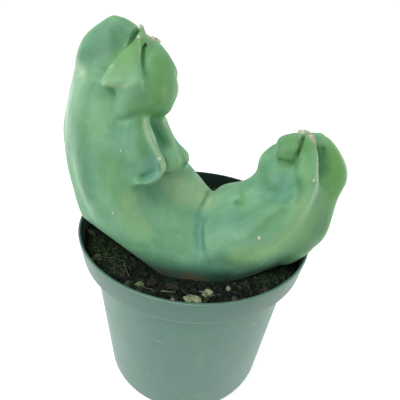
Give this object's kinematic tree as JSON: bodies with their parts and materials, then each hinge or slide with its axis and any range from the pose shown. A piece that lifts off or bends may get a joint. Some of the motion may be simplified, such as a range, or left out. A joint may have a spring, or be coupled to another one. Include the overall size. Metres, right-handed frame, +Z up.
{
  "type": "potted totem pole cactus",
  "caption": "Smooth, lobed blue-green cactus bent into a two-armed U, rooted in gritty soil in a round, tapered nursery pot with a collared rim.",
  "frame": {"origin": "centre of the pot's flat foot", "axes": "+Z up along the pot's axis; +X from the tall arm towards the short arm; -Y towards the viewer of the picture"},
  "size_m": [0.114, 0.105, 0.1686],
  "materials": {
    "cactus_skin": "waxy, smooth, with a pale bloom",
    "pot_plastic": "satin moulded plastic",
    "soil": "dark, coarse and matte",
    "pale_mineral": "matte mineral",
    "green_mineral": "matte mineral",
    "bark": "matte bark"
  },
  "bodies": {
    "root": {"cactus": "cactus_skin", "pot": "pot_plastic", "soil": "soil", "pale_stone": "pale_mineral", "perlite_lump": "pale_mineral", "green_pebble": "green_mineral", "grey_bit": "pale_mineral", "bark_chip": "bark", "dark_chip": "bark", "left_chip": "bark", "twig_stub": "bark"}
  },
  "joints": []
}
